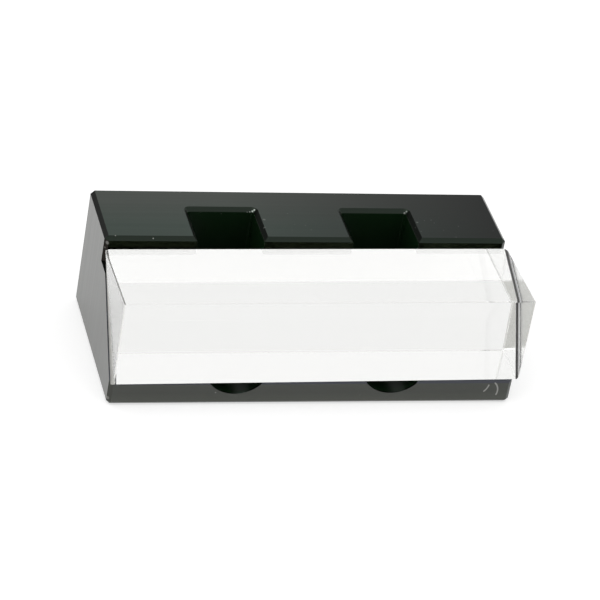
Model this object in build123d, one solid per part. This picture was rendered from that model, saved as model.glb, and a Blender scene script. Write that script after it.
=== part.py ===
from build123d import *
import os
from math import radians, sqrt, tan

# A right angle prism bonded to its holder: a bar of glass with a mirror-coated long face, which looks
# forward (-Y) and up (+Z), on the 45 degree seat of a machined aluminium block.
# Millimetres. +X runs along the bar, -Y is the front, +Z is up, and the block stands on Z = 0.
# The origin is the middle of the underside of the whole assembly.

# Prism
prism_leg = 15.0  # width of each of the two square faces, to the theoretical sharp edges
prism_length = 65.0  # at the ridge
prism_end_angle = 1.4  # degrees that both sawn ends are out of square, seen from above
leg_edge_bevel = 0.15  # on the ridge and round the ends of the two square faces
base_edge_bevel = 0.25  # on the long edges of the mirror-coated face
base_end_bevel = 0.5  # on its two short edges

# What lies between the prism and its seat
coating_thickness = 0.05  # silvering with its protective paint
adhesive_thickness = 0.1
adhesive_margin = 0.8  # from a pad's edge to the edge of what it is spread on
bond_angle = 0.45  # degrees that the prism is turned on its seat, its right end up the slope

# Holder
lip_height = 3.8  # front face below the seat
wall_clearance = 0.1  # from the prism's theoretical back edge to the wall behind it
wall_rise = 1.65  # top of the block above the prism's upper face
relief_drop = 3.0  # from the prism's theoretical back edge down to the relief ledge
end_reveal = 0.5  # bare seat at the left of the prism, at the lip
end_overhang = 0.8  # prism past the right end of the block
holder_depth = 29.0
outer_chamfer = 0.6

# Screw pockets: slots with round bottoms, milled from the front and open at the top
pocket_count = 2
pocket_pitch = 25.0
pocket_width = 10.7
pocket_axis_height = 7.4
pocket_back_wall = 5.5
pocket_floor_radius = 0.4
screw_hole_diameter = 6.6
screw_hole_chamfer = 0.3

# Worked out from the above
bond_rise = (coating_thickness + adhesive_thickness) * sqrt(2)
toe_height = lip_height + bond_rise
prism_top = toe_height + prism_leg
holder_height = prism_top + wall_rise
holder_length = prism_length + end_reveal - end_overhang
overall_length = holder_length + max(end_overhang, 0)

front_y = -holder_depth / 2
back_y = holder_depth / 2
wall_y = front_y + prism_leg + wall_clearance
ledge_z = prism_top - relief_drop
ledge_y = front_y + ledge_z - lip_height
holder_left = -overall_length / 2
holder_right = holder_left + holder_length
holder_middle = (holder_left + holder_right) / 2
prism_left = holder_left + end_reveal
prism_right = prism_left + prism_length
prism_end_shift = prism_leg * tan(radians(prism_end_angle))
pocket_floor_y = back_y - pocket_back_wall
pocket_places = [
    holder_middle + (place - (pocket_count - 1) / 2) * pocket_pitch for place in range(pocket_count)
]

# The seat: its own x runs along the bar, its y up the slope from the lip, its z out towards the prism.
seat_plane = Plane(origin=(0, front_y, lip_height), x_dir=(1, 0, 0), z_dir=(0, -1, 1))
seat_width = (ledge_z - lip_height) * sqrt(2)


def bar(corners, left, right):
    """A straight bar along X whose section has these (Y, Z) corners."""
    section = make_face(Plane.YZ * Polyline(*corners, close=True))
    return extrude(Pos(left, 0, 0) * section, amount=right - left)


def make_holder():
    block = bar(
        [
            (front_y, 0),
            (back_y, 0),
            (back_y, holder_height),
            (wall_y, holder_height),
            (wall_y, ledge_z),
            (ledge_y, ledge_z),
            (front_y, lip_height),
        ],
        holder_left,
        holder_right,
    )
    ledge = block.faces().filter_by(Axis.Z).sort_by(Axis.Z)[1]
    seat = block.faces().filter_by(seat_plane)[0]
    block = chamfer(block.edges() - ledge.edges() - seat.edges(), outer_chamfer)

    for place in pocket_places:
        block -= pocket_cutter(place)
    top = block.faces().sort_by(Axis.Z)[-1]
    block = chamfer(pocket_mouths(top), outer_chamfer)

    for place in pocket_places:
        block -= screw_hole_cutter(place)
    back = block.faces().sort_by(Axis.Y)[-1]
    return chamfer(back.edges().filter_by(GeomType.CIRCLE), screw_hole_chamfer)


def pocket_cutter(place):
    """The space that one pocket takes out of the block, from its floor forwards."""
    floor_plane = Plane(origin=(place, pocket_floor_y, pocket_axis_height), x_dir=(1, 0, 0), z_dir=(0, -1, 0))
    outline = Circle(pocket_width / 2)
    outline += Rectangle(pocket_width, 2 * holder_height, align=(Align.CENTER, Align.MIN))
    cutter = extrude(floor_plane * outline, amount=holder_depth)
    return fillet(cutter.faces().sort_by(Axis.Y)[-1].edges(), pocket_floor_radius)


def pocket_mouths(top):
    """The edges that the pockets leave in the top of the block."""
    mouths = ShapeList()
    for place in pocket_places:
        for edge in top.edges():
            across = abs(edge.center().X - place) < pocket_width / 2 + outer_chamfer / 2
            behind_wall = wall_y + outer_chamfer < edge.center().Y < back_y - 2 * outer_chamfer
            if across and behind_wall:
                mouths.append(edge)
    return mouths


def screw_hole_cutter(place):
    back_plane = Plane(origin=(place, back_y, pocket_axis_height), x_dir=(1, 0, 0), z_dir=(0, -1, 0))
    return extrude(back_plane * Circle(screw_hole_diameter / 2), amount=2 * pocket_back_wall)


def make_prism():
    """The bare prism, square to the block."""
    glass = bar(
        [(front_y, toe_height), (front_y + prism_leg, prism_top), (front_y, prism_top)],
        prism_left - prism_end_shift,
        prism_right,
    )
    plan = make_face(
        Polyline(
            (prism_left, front_y),
            (prism_right, front_y),
            (prism_right - prism_end_shift, front_y + prism_leg),
            (prism_left - prism_end_shift, front_y + prism_leg),
            close=True,
        )
    )
    glass &= extrude(plan, amount=holder_height)
    base = glass.faces().filter_by(seat_plane)[0]
    glass = chamfer(base.edges().filter_by(Axis.X), base_edge_bevel)
    base = glass.faces().filter_by(seat_plane)[0]
    glass = chamfer(base.edges().filter_by(Axis.X, reverse=True), base_end_bevel)

    upper = glass.faces().sort_by(Axis.Z)[-1]
    front = glass.faces().sort_by(Axis.Y)[0]
    ridge = glass.edges().filter_by(Axis.X).group_by(Axis.Z)[-1].sort_by(Axis.Y)[0]
    ends = upper.edges().filter_by(Axis.X, reverse=True) + front.edges().filter_by(Axis.Z)
    return chamfer([ridge] + ends, leg_edge_bevel)


def make_coating(prism):
    """The mirror coating, all over the flat of the prism's long face."""
    base = prism.faces().filter_by(seat_plane)[0]
    return extrude(base, amount=coating_thickness)


def make_adhesive_pad(left, right):
    """One pad of adhesive, across the seat between two of its edges."""
    length = right - left - 2 * adhesive_margin
    width = seat_width - 2 * adhesive_margin
    pad = Pos((left + right) / 2, seat_width / 2) * Rectangle(length, width)
    return extrude(seat_plane * pad, amount=adhesive_thickness)


prism = make_prism()
bond_axis = Axis(
    origin=((prism_left + prism_right) / 2, front_y + prism_leg / 2, toe_height + prism_leg / 2),
    direction=seat_plane.z_dir,
)
nodes = {
    "holder": make_holder(),
    "prism": prism.rotate(bond_axis, bond_angle),
    "mirror_coating": make_coating(prism).rotate(bond_axis, bond_angle),
}

# The pockets divide the seat into lands, and each land has its own pad.
land_starts = [max(holder_left, prism_left)] + [place + pocket_width / 2 for place in pocket_places]
land_ends = [place - pocket_width / 2 for place in pocket_places] + [min(holder_right, prism_right)]
for number, (start, end) in enumerate(zip(land_starts, land_ends), 1):
    nodes[f"adhesive_pad_{number}"] = make_adhesive_pad(start, end)

os.makedirs("parts", exist_ok=True)
for name, solid in nodes.items():
    export_step(solid, f"parts/{name}.step")
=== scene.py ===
import bpy
import bmesh
from math import cos, radians, sin, sqrt
from mathutils import Matrix, Vector


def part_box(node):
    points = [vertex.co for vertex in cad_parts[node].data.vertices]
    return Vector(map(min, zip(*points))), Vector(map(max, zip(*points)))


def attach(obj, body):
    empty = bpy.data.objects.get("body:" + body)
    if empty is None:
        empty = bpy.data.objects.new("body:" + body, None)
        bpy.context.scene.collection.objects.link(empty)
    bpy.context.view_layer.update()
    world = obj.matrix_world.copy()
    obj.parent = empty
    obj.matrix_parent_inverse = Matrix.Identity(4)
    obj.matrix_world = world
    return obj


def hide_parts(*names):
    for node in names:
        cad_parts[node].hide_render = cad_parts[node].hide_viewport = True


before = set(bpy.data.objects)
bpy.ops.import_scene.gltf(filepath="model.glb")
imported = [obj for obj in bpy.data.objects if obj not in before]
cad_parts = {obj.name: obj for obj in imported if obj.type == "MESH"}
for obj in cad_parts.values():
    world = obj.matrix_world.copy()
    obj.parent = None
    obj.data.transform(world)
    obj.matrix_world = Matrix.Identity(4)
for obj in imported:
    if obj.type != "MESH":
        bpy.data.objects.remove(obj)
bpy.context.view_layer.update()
print("frame loaded")

scene = bpy.context.scene
scene.view_settings.view_transform = "Standard"


def newMaterial(name):
    material = bpy.data.materials.new(name)
    material.use_nodes = True
    nodes = material.node_tree.nodes
    return material, nodes, material.node_tree.links, nodes["Principled BSDF"]


# inputs without a value are vectors, the others are numbers, and so are all the outputs
def newGroup(name, inputs, outputs):
    group = bpy.data.node_groups.new(name, "ShaderNodeTree")
    for label, value in inputs.items():
        kind = "NodeSocketVector" if value is None else "NodeSocketFloat"
        socket = group.interface.new_socket(name=label, in_out="INPUT", socket_type=kind)
        if value is not None:
            socket.default_value = value
    for label in outputs:
        group.interface.new_socket(name=label, in_out="OUTPUT", socket_type="NodeSocketFloat")
    return group, group.nodes.new("NodeGroupInput"), group.nodes.new("NodeGroupOutput")


def placeGroup(nodes, group, **values):
    node = nodes.new("ShaderNodeGroup")
    node.node_tree = group
    for label, value in values.items():
        node.inputs[label].default_value = value
    return node


def mathNode(nodes, links, operation, first, second=None):
    node = nodes.new("ShaderNodeMath")
    node.operation = operation
    for socket, value in zip(node.inputs, (first, second)):
        if value is None:
            continue
        if isinstance(value, (int, float)):
            socket.default_value = value
        else:
            links.new(value, socket)
    return node.outputs[0]


def mixColor(nodes, links, mask, first, second, blend="MIX"):
    node = nodes.new("ShaderNodeMix")
    node.data_type = "RGBA"
    node.blend_type = blend
    for socket, value in ((node.inputs["Factor"], mask), (node.inputs[6], first), (node.inputs[7], second)):
        if isinstance(value, (int, float)):
            socket.default_value = value
        elif isinstance(value, tuple):
            socket.default_value = (*value, 1)
        else:
            links.new(value, socket)
    return node.outputs[2]


def ramp(nodes, links, source, low, high, fromValue=0.0, toValue=1.0):
    node = nodes.new("ShaderNodeMapRange")
    links.new(source, node.inputs["Value"])
    node.inputs["From Min"].default_value = low
    node.inputs["From Max"].default_value = high
    node.inputs["To Min"].default_value = fromValue
    node.inputs["To Max"].default_value = toValue
    return node.outputs["Result"]


def noise(nodes, links, source, scale, detail=2.0):
    node = nodes.new("ShaderNodeTexNoise")
    node.inputs["Scale"].default_value = scale
    node.inputs["Detail"].default_value = detail
    links.new(source, node.inputs["Vector"])
    return node.outputs["Fac"]


def split(nodes, links, source):
    node = nodes.new("ShaderNodeSeparateXYZ")
    links.new(source, node.inputs[0])
    return node.outputs


def dotNode(nodes, links, source, direction):
    node = nodes.new("ShaderNodeVectorMath")
    node.operation = "DOT_PRODUCT"
    links.new(source, node.inputs[0])
    node.inputs[1].default_value = direction
    return node.outputs["Value"]


def distance(nodes, links, value, place):
    away = mathNode(nodes, links, "SUBTRACT", value, place)
    return mathNode(nodes, links, "ABSOLUTE", away)


# where all of the masks are 1
def overlap(nodes, links, *masks):
    shared = masks[0]
    for mask in masks[1:]:
        shared = mathNode(nodes, links, "MULTIPLY", shared, mask)
    return shared


millingMarks = {
    "lines": 9000.0,
    "stretch": 60.0,
    "fineScale": 1.0,
    "fineDetail": 3.0,
    "broadScale": 0.22,
}


# fine parallel marks of a cutter: long in two directions and close together in the third
def millingGroup():
    inputs = {"Vector": None, "Lines": millingMarks["lines"], "Stretch": millingMarks["stretch"]}
    group, start, end = newGroup("fineMilling", inputs, ["Height", "Tone"])
    nodes, links = group.nodes, group.links
    parts = split(nodes, links, start.outputs["Vector"])
    joined = nodes.new("ShaderNodeCombineXYZ")
    for axis, factor in (("X", "Stretch"), ("Y", "Lines"), ("Z", "Stretch")):
        scaled = mathNode(nodes, links, "MULTIPLY", parts[axis], start.outputs[factor])
        links.new(scaled, joined.inputs[axis])
    fine = noise(nodes, links, joined.outputs[0], millingMarks["fineScale"], millingMarks["fineDetail"])
    broad = noise(nodes, links, joined.outputs[0], millingMarks["broadScale"])
    links.new(fine, end.inputs["Height"])
    links.new(broad, end.inputs["Tone"])
    return group


dustSpecks = {"scale": 900.0, "size": 0.06, "patchScale": 160.0, "bareShare": 0.58}


# small pale specks of dust, thinly scattered
def dustGroup():
    inputs = {"Vector": None, "Scale": dustSpecks["scale"], "Size": dustSpecks["size"]}
    group, start, end = newGroup("dust", inputs, ["Mask"])
    nodes, links = group.nodes, group.links
    cells = nodes.new("ShaderNodeTexVoronoi")
    cells.feature = "F1"
    links.new(start.outputs["Vector"], cells.inputs["Vector"])
    links.new(start.outputs["Scale"], cells.inputs["Scale"])
    near = mathNode(nodes, links, "LESS_THAN", cells.outputs["Distance"], start.outputs["Size"])
    patches = noise(nodes, links, start.outputs["Vector"], dustSpecks["patchScale"])
    some = mathNode(nodes, links, "GREATER_THAN", patches, dustSpecks["bareShare"])
    links.new(overlap(nodes, links, near, some), end.inputs["Mask"])
    return group


corner = sqrt(0.5)  # both parts of a normal that looks halfway between two directions
sameWay = {"main": 0.985, "side": 0.95, "endBevel": 0.99}  # how close a normal has to be to a direction


# 1 on the narrow slanted faces between a prism's main faces, 0 on the main faces
def bevelGroup():
    group, start, end = newGroup("groundBevels", {"Normal": None}, ["Mask"])
    nodes, links = group.nodes, group.links
    best = 0.0
    for direction in ((1, 0, 0), (0, 1, 0), (0, 0, 1), (0, corner, -corner)):
        dot = dotNode(nodes, links, start.outputs["Normal"], direction)
        size = mathNode(nodes, links, "ABSOLUTE", dot)
        best = mathNode(nodes, links, "MAXIMUM", size, best)
    slanted = mathNode(nodes, links, "LESS_THAN", best, sameWay["main"])
    links.new(slanted, end.inputs["Mask"])
    return group


# which of the block's flat sides a point lies on
def facingGroup():
    sides = {
        "Up": (0, 0, 1),
        "Down": (0, 0, -1),
        "Front": (0, -1, 0),
        "Back": (0, 1, 0),
        "Slope": (0, -corner, corner),
        "LeftCorner": (-corner, -corner, 0),
        "LeftAndUp": (-corner, 0, corner),
    }
    group, start, end = newGroup("facing", {"Normal": None}, [*sides, "Ends"])
    nodes, links = group.nodes, group.links
    for label, direction in sides.items():
        dot = dotNode(nodes, links, start.outputs["Normal"], direction)
        links.new(mathNode(nodes, links, "GREATER_THAN", dot, sameWay["side"]), end.inputs[label])
    parts = split(nodes, links, start.outputs["Normal"])
    across = mathNode(nodes, links, "ABSOLUTE", parts["X"])
    links.new(mathNode(nodes, links, "GREATER_THAN", across, sameWay["side"]), end.inputs["Ends"])
    return group


markShape = {"radius": 0.0002, "solid": 0.6}  # solid out to this share of the radius, then fading


# a soft round mark about one point
def markGroup():
    inputs = {"Vector": None, "Centre": None, "Radius": markShape["radius"]}
    group, start, end = newGroup("mark", inputs, ["Mask"])
    nodes, links = group.nodes, group.links
    away = nodes.new("ShaderNodeVectorMath")
    away.operation = "DISTANCE"
    links.new(start.outputs["Vector"], away.inputs[0])
    links.new(start.outputs["Centre"], away.inputs[1])
    share = mathNode(nodes, links, "DIVIDE", away.outputs["Value"], start.outputs["Radius"])
    links.new(ramp(nodes, links, share, markShape["solid"], 1.0, 1.0, 0.0), end.inputs["Mask"])
    return group


facing = facingGroup()
mark = markGroup()
milling = millingGroup()
dust = dustGroup()
groundBevels = bevelGroup()
print("shader groups built")


holderFinish = {
    "topBlack": (0.038, 0.053, 0.044),
    # painted shade: the top goes darker towards the right end
    "rightEndShadeShare": 0.06,
    "rightShadeSpan": (-0.012, 0.034),
    # painted sheen: the top goes paler towards the rear
    "rearSheenTone": (0.053, 0.060, 0.053),
    "rearSheenSpan": (0.004, 0.012),
    "patina": (0.049, 0.051, 0.045),
    "patinaShare": 0.5,
    "wornScale": 45.0,
    "wornDetail": 3.0,
    "wornSpan": (0.5, 0.75),
    # painted reflection of the pale backdrop on the holder's ends
    "endGlareTone": (0.110, 0.112, 0.106),
    "frontBlack": (0.073, 0.076, 0.070),
    "lipFoot": (0.087, 0.091, 0.082),
    "footSpan": (0.0022, 0.0008),
    # painted shade on the front of the wall
    "wallShadeTone": (0.0068, 0.0095, 0.0048),
    "wallFoot": 0.0155,
    # bluish painted reflection on the seat
    "seatBlueReflection": (0.070, 0.073, 0.085),
    "chamferBlack": (0.024, 0.031, 0.025),
    # painted shade on the chamfers that face left and up, darkest at the pocket mouths
    "leftEdgeShadeTone": (0.019, 0.020, 0.019),
    "mouthShadeTone": (0.006, 0.0075, 0.006),
    "mouthHalfWidth": 0.0061,
    # painted shade: a grey specular tint on the chamfers that face left and up
    "leftEdgeShadeTint": (0.6, 0.6, 0.6),
    "lipCorner": (0.060, 0.062, 0.056),
    # painted shade on the wall's left corner
    "wallCornerShade": (0.016, 0.014, 0.012),
    # painted shade inside the pockets
    "pocketShadeTone": (0.004, 0.015, 0.0045),
    "pocketShine": 0.25,
    "pocketMiddle": -0.0004,
    "pocketOffset": 0.0125,
    "pocketHalfWidth": 0.00537,
    "pocketFront": -0.0142,
    "pocketBack": 0.00902,
    "pocketFoot": 0.001,
    "dustColor": (0.11, 0.115, 0.11),
    "roughness": 0.30,
    "roughnessSpread": 0.02,
    "streakSpan": (0.3, 0.7),
    "streakTones": (0.95, 1.05),
    "lineHeight": 0.000004,
    "lineStrength": 0.6,
}

# pale marks on the black: place, radius and tone; the first six are specks, knocks and scuffs, the next
# seven are painted highlights at the pockets' rear corners, and the last four are pale marks along the
# pockets' right mouth chamfers
holderNicksAndGlints = [
    ((-0.03110, 0.00116, 0.02066), 0.00011, (0.30, 0.30, 0.28)),
    ((-0.02520, 0.00090, 0.02036), 0.00012, (0.28, 0.29, 0.27)),
    ((-0.03230, 0.00080, 0.01960), 0.00036, (0.13, 0.13, 0.12)),
    ((-0.03245, 0.00105, 0.01860), 0.00022, (0.08, 0.08, 0.07)),
    ((-0.03260, -0.01404, 0.00117), 0.00034, (0.17, 0.17, 0.16)),
    ((-0.01594, -0.01450, 0.00232), 0.00013, (0.22, 0.22, 0.21)),
    # painted highlights at the rear corners of the pockets
    ((-0.00735, 0.00918, 0.02030), 0.00023, (0.50, 0.55, 0.50)),
    ((-0.00770, 0.00908, 0.02018), 0.00018, (0.34, 0.38, 0.35)),
    ((-0.00812, 0.00904, 0.02010), 0.00015, (0.20, 0.22, 0.20)),
    ((-0.00855, 0.00902, 0.02006), 0.00013, (0.10, 0.11, 0.10)),
    ((0.01765, 0.00918, 0.02030), 0.00023, (0.20, 0.22, 0.20)),
    ((0.01728, 0.00906, 0.02012), 0.00020, (0.16, 0.17, 0.16)),
    ((-0.01794, 0.00868, 0.02030), 0.00016, (0.13, 0.14, 0.13)),
    # pale marks along the right mouth chamfers of the pockets
    ((-0.00655, 0.00600, 0.02056), 0.00030, (0.10, 0.11, 0.10)),
    ((-0.00690, 0.00380, 0.02050), 0.00026, (0.09, 0.10, 0.09)),
    ((0.01840, 0.00560, 0.02052), 0.00028, (0.08, 0.09, 0.08)),
    ((0.01836, 0.00300, 0.02050), 0.00022, (0.08, 0.09, 0.08)),
]

# two short curved scratches near the right end of the lip: the centre and radius of each arc, its first
# and last angle, and how many marks it takes
scratchArcs = [
    (0.02587, 0.00381, 0.00222, -44, -10, 9),
    (0.02760, 0.00230, 0.00210, 46, -19, 18),
]
scratch = {"lipFront": -0.0145, "width": 0.00015, "tone": (0.25, 0.25, 0.24)}
lipScratches = []
for across, up, radius, first, last, count in scratchArcs:
    for step in range(count):
        angle = radians(first + (last - first) * step / (count - 1))
        centre = (across + radius * cos(angle), scratch["lipFront"], up + radius * sin(angle))
        lipScratches.append((centre, scratch["width"], scratch["tone"]))


# anodised black, with a different tone on each side of the block as painted light and shade
def blackAnodised():
    material, nodes, links, shader = newMaterial("blackAnodised")
    place = nodes.new("ShaderNodeTexCoord")
    sides = placeGroup(nodes, facing)
    links.new(place.outputs["Normal"], sides.inputs["Normal"])
    side = sides.outputs
    spot = place.outputs["Object"]
    point = split(nodes, links, spot)

    # the top is worn in patches; it goes paler towards the rear as a painted sheen and darker towards the
    # right end as painted shade
    patches = noise(nodes, links, spot, holderFinish["wornScale"], holderFinish["wornDetail"])
    worn = ramp(nodes, links, patches, *holderFinish["wornSpan"])
    worn = mathNode(nodes, links, "MULTIPLY", worn, holderFinish["patinaShare"])
    along = ramp(nodes, links, point["X"], *holderFinish["rightShadeSpan"])
    rear = ramp(nodes, links, point["Y"], *holderFinish["rearSheenSpan"])
    rightShadedTop = tuple(holderFinish["rightEndShadeShare"] * part for part in holderFinish["topBlack"])
    top = mixColor(nodes, links, rear, holderFinish["topBlack"], holderFinish["rearSheenTone"])
    top = mixColor(nodes, links, worn, top, holderFinish["patina"])
    top = mixColor(nodes, links, along, top, rightShadedTop)

    # the seat and the lip are low, the wall is high
    low = mathNode(nodes, links, "LESS_THAN", point["Z"], holderFinish["wallFoot"])
    high = mathNode(nodes, links, "GREATER_THAN", point["Z"], holderFinish["wallFoot"])
    lipFoot = ramp(nodes, links, point["Z"], *holderFinish["footSpan"])

    # the two pockets lie at the same distance from the middle
    fromMiddle = distance(nodes, links, point["X"], holderFinish["pocketMiddle"])
    fromAxis = distance(nodes, links, fromMiddle, holderFinish["pocketOffset"])
    atMouth = mathNode(nodes, links, "LESS_THAN", fromAxis, holderFinish["mouthHalfWidth"])
    inside = overlap(
        nodes,
        links,
        mathNode(nodes, links, "LESS_THAN", fromAxis, holderFinish["pocketHalfWidth"]),
        mathNode(nodes, links, "GREATER_THAN", point["Y"], holderFinish["pocketFront"]),
        mathNode(nodes, links, "LESS_THAN", point["Y"], holderFinish["pocketBack"]),
        mathNode(nodes, links, "GREATER_THAN", point["Z"], holderFinish["pocketFoot"]),
    )

    # painted light and shade: each side takes the tone it shows under this light; the ends carry a painted
    # reflection of the pale backdrop, the wall front, its left corner, the left-facing chamfers, the pocket
    # mouths and the pockets' insides are darkened as painted shade, the seat has a bluish painted
    # reflection, and the lip goes paler towards its foot
    coats = [
        (side["Up"], top),
        (side["LeftAndUp"], holderFinish["leftEdgeShadeTone"]),
        (overlap(nodes, links, atMouth, side["LeftAndUp"]), holderFinish["mouthShadeTone"]),
        (side["Ends"], holderFinish["endGlareTone"]),
        (side["Front"], holderFinish["frontBlack"]),
        (overlap(nodes, links, lipFoot, side["Front"]), holderFinish["lipFoot"]),
        (side["Back"], holderFinish["frontBlack"]),
        (side["Down"], holderFinish["frontBlack"]),
        (overlap(nodes, links, low, side["Slope"]), holderFinish["seatBlueReflection"]),
        (overlap(nodes, links, high, side["Front"]), holderFinish["wallShadeTone"]),
        (overlap(nodes, links, low, side["LeftCorner"]), holderFinish["lipCorner"]),
        (overlap(nodes, links, high, side["LeftCorner"]), holderFinish["wallCornerShade"]),
        (inside, holderFinish["pocketShadeTone"]),
    ]
    for centre, radius, color in holderNicksAndGlints + lipScratches:
        nickOrGlint = placeGroup(nodes, mark, Centre=centre, Radius=radius)
        links.new(spot, nickOrGlint.inputs["Vector"])
        coats.append((nickOrGlint.outputs["Mask"], color))
    tone = holderFinish["chamferBlack"]
    for mask, color in coats:
        tone = mixColor(nodes, links, mask, tone, color)

    # cutter streaks in the tone, the gloss and the relief, and dust on top
    marks = placeGroup(nodes, milling)
    links.new(spot, marks.inputs["Vector"])
    streaks = marks.outputs["Tone"]
    shade = ramp(nodes, links, streaks, *holderFinish["streakSpan"], *holderFinish["streakTones"])
    tone = mixColor(nodes, links, 1.0, tone, shade, "MULTIPLY")
    specks = placeGroup(nodes, dust)
    links.new(spot, specks.inputs["Vector"])
    tone = mixColor(nodes, links, specks.outputs["Mask"], tone, holderFinish["dustColor"])
    links.new(tone, shader.inputs["Base Color"])
    smooth = holderFinish["roughness"] - holderFinish["roughnessSpread"]
    rough = holderFinish["roughness"] + holderFinish["roughnessSpread"]
    gloss = ramp(nodes, links, streaks, *holderFinish["streakSpan"], smooth, rough)
    links.new(gloss, shader.inputs["Roughness"])
    bump = nodes.new("ShaderNodeBump")
    bump.inputs["Distance"].default_value = holderFinish["lineHeight"]
    bump.inputs["Strength"].default_value = holderFinish["lineStrength"]
    links.new(marks.outputs["Height"], bump.inputs["Height"])
    links.new(bump.outputs["Normal"], shader.inputs["Normal"])

    # it shines like metal, but inside the pockets it is a dull greenish black as painted shade
    links.new(mathNode(nodes, links, "SUBTRACT", 1.0, inside), shader.inputs["Metallic"])
    shader.inputs["Specular IOR Level"].default_value = holderFinish["pocketShine"]

    # painted shade: the chamfers that face left and up get a grey specular tint, so they go less pale at a
    # low angle than the rest
    sheen = mixColor(nodes, links, side["LeftAndUp"], (1, 1, 1), holderFinish["leftEdgeShadeTint"])
    links.new(sheen, shader.inputs["Specular Tint"])
    return material


glassFinish = {
    "tint": (0.995, 0.996, 0.995),
    "endTint": (0.92, 0.92, 0.905),
    "bevelTint": (0.99, 0.99, 0.955),
    "ior": 1.517,
    "bevelRoughness": 0.3,
    "endRoughness": 0.22,
    "smearRoughness": 0.012,
    "smearScale": 90.0,
    "smearSpan": (0.55, 0.8),
}


# polished on the three long faces, fine-ground on the ends and the edge bevels
def opticalGlass():
    material, nodes, links, shader = newMaterial("opticalGlass")
    place = nodes.new("ShaderNodeTexCoord")
    bevels = placeGroup(nodes, groundBevels)
    links.new(place.outputs["Normal"], bevels.inputs["Normal"])
    sides = placeGroup(nodes, facing)
    links.new(place.outputs["Normal"], sides.inputs["Normal"])
    bevel, sawn = bevels.outputs["Mask"], sides.outputs["Ends"]
    smear = noise(nodes, links, place.outputs["Object"], glassFinish["smearScale"])
    polished = ramp(nodes, links, smear, *glassFinish["smearSpan"], 0.0, glassFinish["smearRoughness"])
    bevelled = mathNode(nodes, links, "MULTIPLY", bevel, glassFinish["bevelRoughness"])
    ends = mathNode(nodes, links, "MULTIPLY", sawn, glassFinish["endRoughness"])
    ground = mathNode(nodes, links, "ADD", bevelled, ends)
    links.new(mathNode(nodes, links, "ADD", polished, ground), shader.inputs["Roughness"])
    tint = mixColor(nodes, links, bevel, glassFinish["tint"], glassFinish["bevelTint"])
    tint = mixColor(nodes, links, sawn, tint, glassFinish["endTint"])
    links.new(tint, shader.inputs["Base Color"])
    shader.inputs["Transmission Weight"].default_value = 1.0
    shader.inputs["IOR"].default_value = glassFinish["ior"]
    return material


silverFinish = {"color": (0.93, 0.93, 0.92), "haze": 0.985, "hazeScale": 60.0, "roughness": 0.01}


def silvering():
    material, nodes, links, shader = newMaterial("silvering")
    place = nodes.new("ShaderNodeTexCoord")
    haze = noise(nodes, links, place.outputs["Object"], silverFinish["hazeScale"])
    darker = tuple(silverFinish["haze"] * part for part in silverFinish["color"])
    tone = mixColor(nodes, links, haze, silverFinish["color"], darker)
    links.new(tone, shader.inputs["Base Color"])
    shader.inputs["Metallic"].default_value = 1.0
    shader.inputs["Roughness"].default_value = silverFinish["roughness"]
    return material


mottling = {"scale": 1500.0, "paler": 1.6, "span": (0.3, 0.7), "roughnessSpread": 0.08}
backFinish = {"color": (0.010, 0.009, 0.009), "roughness": 0.5, "shine": 0.1}
adhesiveFinish = {"color": (0.015, 0.015, 0.014), "roughness": 0.35, "shine": 0.5}


# a finely mottled black
def mottledBlack(name, finish):
    material, nodes, links, shader = newMaterial(name)
    shader.inputs["Specular IOR Level"].default_value = finish["shine"]
    place = nodes.new("ShaderNodeTexCoord")
    mottle = noise(nodes, links, place.outputs["Object"], mottling["scale"])
    paler = tuple(mottling["paler"] * part for part in finish["color"])
    tone = mixColor(nodes, links, mottle, finish["color"], paler)
    links.new(tone, shader.inputs["Base Color"])
    smooth = finish["roughness"] - mottling["roughnessSpread"]
    rough = finish["roughness"] + mottling["roughnessSpread"]
    gloss = ramp(nodes, links, mottle, *mottling["span"], smooth, rough)
    links.new(gloss, shader.inputs["Roughness"])
    return material


filletFinish = {
    "color": (0.70, 0.70, 0.67),
    "cloud": (0.61, 0.61, 0.57),
    "cloudScale": 700.0,
    "cloudSpan": (0.35, 0.65),
    "roughnessSpan": (0.3, 0.7),
    "roughness": (0.3, 0.45),
}


# the adhesive where it squeezed out and went milky
def curedAdhesive():
    material, nodes, links, shader = newMaterial("curedAdhesive")
    place = nodes.new("ShaderNodeTexCoord")
    cloud = noise(nodes, links, place.outputs["Object"], filletFinish["cloudScale"])
    milky = ramp(nodes, links, cloud, *filletFinish["cloudSpan"])
    tone = mixColor(nodes, links, milky, filletFinish["color"], filletFinish["cloud"])
    links.new(tone, shader.inputs["Base Color"])
    gloss = ramp(nodes, links, cloud, *filletFinish["roughnessSpan"], *filletFinish["roughness"])
    links.new(gloss, shader.inputs["Roughness"])
    return material


holderMaterial = blackAnodised()
glassMaterial = opticalGlass()
silverMaterial = silvering()
backMaterial = mottledBlack("backingPaint", backFinish)
adhesiveMaterial = mottledBlack("adhesive", adhesiveFinish)
filletMaterial = curedAdhesive()


def dress(node, material):
    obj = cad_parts[node]
    obj.data.materials.clear()
    obj.data.materials.append(material)


dress("holder", holderMaterial)
dress("prism", glassMaterial)
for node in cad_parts:
    if node.startswith("adhesive_pad"):
        dress(node, adhesiveMaterial)
print("materials assigned")


def newObject(name, mesh, *materials):
    data = bpy.data.meshes.new(name)
    mesh.to_mesh(data)
    mesh.free()
    for material in materials:
        data.materials.append(material)
    made = bpy.data.objects.new(name, data)
    scene.collection.objects.link(made)
    return made


sortWay = Vector((1, 2, 3))


# cutting and extruding leave points and faces in any order, so they are put in the same one each run
def addPiece(name, mesh, *materials):
    mesh.verts.sort(key=lambda vert: vert.co.dot(sortWay))
    mesh.faces.sort(key=lambda face: face.calc_center_median().dot(sortWay))
    piece = newObject(name, mesh, *materials)
    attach(piece, "root")
    return piece


merging = {"weld": 0.000001, "flatAngle": radians(1)}


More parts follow.
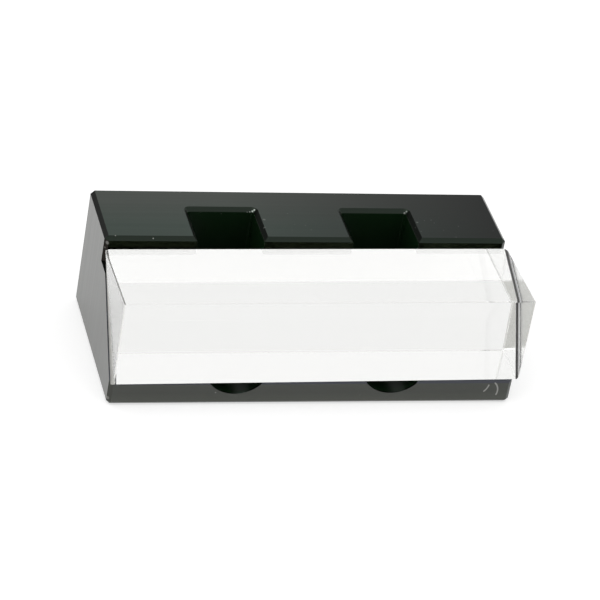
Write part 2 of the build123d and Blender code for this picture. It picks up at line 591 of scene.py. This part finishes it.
# a CAD node's mesh with each flat face in one piece again
def mergedCopy(node):
    mesh = bmesh.new()
    mesh.from_mesh(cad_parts[node].data)
    bmesh.ops.remove_doubles(mesh, verts=mesh.verts, dist=merging["weld"])
    flat = merging["flatAngle"]
    bmesh.ops.dissolve_limit(mesh, angle_limit=flat, verts=mesh.verts, edges=mesh.edges)
    bmesh.ops.recalc_face_normals(mesh, faces=mesh.faces)
    return mesh


coating = {"gap": 0.00001}
inward = Vector((0, 1, -1)).normalized()  # from the glass towards the seat


# the coating's own outline, a hair behind the glass: silver towards it, paint behind and round the edge
def mirrorSheet():
    mesh = mergedCopy("mirror_coating")
    silverSide = min(mesh.faces, key=lambda face: face.normal.dot(inward))
    bmesh.ops.translate(mesh, vec=inward * coating["gap"], verts=silverSide.verts)
    for face in mesh.faces:
        face.material_index = 0 if face == silverSide else 1
    sheet = addPiece("mirrorSheet", mesh, silverMaterial, backMaterial)
    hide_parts("mirror_coating")


# the glass side of the coating, as a height over the seat along the seat's normal
def coatedLevel():
    mesh = mergedCopy("mirror_coating")
    level = max(vert.co.dot(-inward) for vert in mesh.verts)
    mesh.free()
    return level


# only the slanted face at one short edge of the coated side: the left one for -1, the right one for 1
def endBevel(side):
    mesh = mergedCopy("prism")
    way = (Vector((side, 0, 0)) + inward).normalized()
    others = [face for face in mesh.faces if face.normal.dot(way) < sameWay["endBevel"]]
    bmesh.ops.delete(mesh, geom=others, context="FACES")
    return mesh


edgePaint = {
    "start": 0.00007,
    "leftEnd": 0.0002,
    "rightEnd": 0.00034,
    "depth": 0.00001,
    "thickness": 0.00002,
}


# the backing paint laps a little way over the bevel along each short edge of the coated face
def paintedEdge(name, side, end):
    mesh = endBevel(side)
    for height, way in ((edgePaint["start"], inward), (end, -inward)):
        limit = -inward * (coatedLevel() + height)
        parts = mesh.verts[:] + mesh.edges[:] + mesh.faces[:]
        bmesh.ops.bisect_plane(mesh, geom=parts, plane_co=limit, plane_no=way, clear_outer=True)
    for face in mesh.faces:
        bmesh.ops.translate(mesh, vec=-face.normal * edgePaint["depth"], verts=face.verts)
    bmesh.ops.solidify(mesh, geom=mesh.faces[:], thickness=edgePaint["thickness"])
    bmesh.ops.recalc_face_normals(mesh, faces=mesh.faces)
    strip = addPiece(name, mesh, backMaterial)


mirrorSheet()
paintedEdge("paintedEdgeLeft", -1, edgePaint["leftEnd"])
paintedEdge("paintedEdgeRight", 1, edgePaint["rightEnd"])
print("mirror coating built")


fillet = {
    "gap": 0.000012,
    "bareSeat": 0.0002,
    "swell": 0.00003,
    "overSeat": 0.00001,
    "bond": 0.00015,
    "bevel": 0.0005,
}


# adhesive squeezed out under the left end of the glass, from its bevel down to the seat
def adhesiveFillet():
    mesh = endBevel(-1)
    seatLevel = coatedLevel() - fillet["bond"]
    for face in mesh.faces:
        bmesh.ops.translate(mesh, vec=face.normal * fillet["gap"], verts=face.verts)
    made = bmesh.ops.extrude_face_region(mesh, geom=mesh.faces[:])
    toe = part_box("holder")[0][0] + fillet["bareSeat"]
    # the outer skin stays on the bevel at its top and reaches the seat at its foot
    for vert in [part for part in made["geom"] if isinstance(part, bmesh.types.BMVert)]:
        over = vert.co.dot(-inward) - seatLevel
        share = min(max((over - fillet["bond"]) / fillet["bevel"], 0), 1)
        vert.co += inward * (1 - share) * (over - fillet["overSeat"])
        vert.co.x = (1 - share) * toe + share * (vert.co.x - fillet["swell"])
    bmesh.ops.recalc_face_normals(mesh, faces=mesh.faces)
    bead = addPiece("adhesiveFillet", mesh, filletMaterial)


adhesiveFillet()
print("adhesive fillet built")


studio = {
    "floorSize": 3.0,
    "floorColor": (0.6, 0.6, 0.6),
    "floorRoughness": 0.9,
    "floorLift": 0.58,
    "worldLight": 0.8,
    "seenSpan": (-0.6, 0.6),
    "seenFront": 0.955,
    "seenBack": 1.03,
    "cardPlace": (-0.33, -0.66, 0.95),
    "cardSize": 0.5,
    "cardGrey": (0.5, 0.5, 0.47),
    "lampPlace": (-0.3, -0.2, 1.1),
    "lampSize": 0.9,
    "lampPower": 2.5,
}


def flatSquare(size):
    mesh = bmesh.new()
    bmesh.ops.create_grid(mesh, x_segments=1, y_segments=1, size=size)
    return mesh


# 1 for what the camera sees by way of the glass or the metal
def seenInObject(nodes, links, path):
    return mathNode(nodes, links, "MAXIMUM", path["Is Glossy Ray"], path["Is Transmission Ray"])


# a pale floor with some light of its own, wherever the camera sees it
def buildFloor():
    material, nodes, links, shader = newMaterial("paleFloor")
    shader.inputs["Base Color"].default_value = (*studio["floorColor"], 1)
    shader.inputs["Roughness"].default_value = studio["floorRoughness"]
    shader.inputs["Specular IOR Level"].default_value = 0.0
    shader.inputs["Emission Color"].default_value = (1, 1, 1, 1)
    path = nodes.new("ShaderNodeLightPath").outputs
    inObject = seenInObject(nodes, links, path)
    seen = mathNode(nodes, links, "MAXIMUM", path["Is Camera Ray"], inObject)
    lift = mathNode(nodes, links, "MULTIPLY", seen, studio["floorLift"])
    links.new(lift, shader.inputs["Emission Strength"])
    floor = newObject("floor", flatSquare(studio["floorSize"]), material)


# white to the camera, and in the glass and the metal a little brighter at the back than at the front
def buildWorld():
    world = bpy.data.worlds.new("studio")
    scene.world = world
    world.use_nodes = True
    nodes, links = world.node_tree.nodes, world.node_tree.links
    sky = nodes["Background"]
    sky.inputs["Color"].default_value = (1, 1, 1, 1)
    path = nodes.new("ShaderNodeLightPath").outputs
    way = split(nodes, links, nodes.new("ShaderNodeTexCoord").outputs["Generated"])
    shown = ramp(nodes, links, way["Y"], *studio["seenSpan"], studio["seenFront"], studio["seenBack"])
    added = mathNode(nodes, links, "SUBTRACT", shown, studio["worldLight"])
    more = mathNode(nodes, links, "MULTIPLY", seenInObject(nodes, links, path), added)
    straight = mathNode(nodes, links, "MULTIPLY", path["Is Camera Ray"], 1 - studio["worldLight"])
    extra = mathNode(nodes, links, "ADD", more, straight)
    links.new(mathNode(nodes, links, "ADD", extra, studio["worldLight"]), sky.inputs["Strength"])


# a grey card over the camera's left shoulder, which the ends of the glass pick up
def greyCard():
    mesh = flatSquare(studio["cardSize"] / 2)
    place = Vector(studio["cardPlace"])
    turn = place.to_track_quat("Z", "Y").to_matrix().to_4x4()
    bmesh.ops.transform(mesh, matrix=Matrix.Translation(place) @ turn, verts=mesh.verts)
    material, nodes, links, shader = newMaterial("greyCard")
    shader.inputs["Base Color"].default_value = (0, 0, 0, 1)
    shader.inputs["Specular IOR Level"].default_value = 0.0
    shader.inputs["Emission Color"].default_value = (*studio["cardGrey"], 1)
    shader.inputs["Emission Strength"].default_value = 1.0
    card = newObject("greyCard", mesh, material)


def overheadSoftbox():
    data = bpy.data.lights.new("overheadSoftbox", "AREA")
    data.shape = "RECTANGLE"
    data.size = data.size_y = studio["lampSize"]
    data.energy = studio["lampPower"]
    lamp = bpy.data.objects.new("overheadSoftbox", data)
    lamp.location = studio["lampPlace"]
    lamp.rotation_euler = (-Vector(studio["lampPlace"])).to_track_quat("-Z", "Y").to_euler()
    scene.collection.objects.link(lamp)


buildFloor()
buildWorld()
greyCard()
overheadSoftbox()


view = {
    "place": (-0.133576, -0.392821, 0.279557),
    "right": (0.96308097, -0.22069192, 0.15417562),
    "forward": (0.26920458, 0.79370503, -0.54549172),
    "lens": 189.24,
    "sensor": 36.0,
    "clip": (0.01, 20.0),
    "bounces": 48,
}


def buildCamera():
    data = bpy.data.cameras.new("camera")
    data.lens = view["lens"]
    data.sensor_width = view["sensor"]
    data.clip_start, data.clip_end = view["clip"]
    camera = bpy.data.objects.new("camera", data)
    right, back = Vector(view["right"]), -Vector(view["forward"])
    turn = Matrix((right, back.cross(right), back)).transposed()
    camera.matrix_world = Matrix.Translation(view["place"]) @ turn.to_4x4()
    scene.collection.objects.link(camera)
    scene.camera = camera


buildCamera()
# light turns many times between the glass and its mirror
scene.cycles.max_bounces = view["bounces"]
scene.cycles.transmission_bounces = view["bounces"]
scene.cycles.glossy_bounces = view["bounces"]
print("studio and camera built")
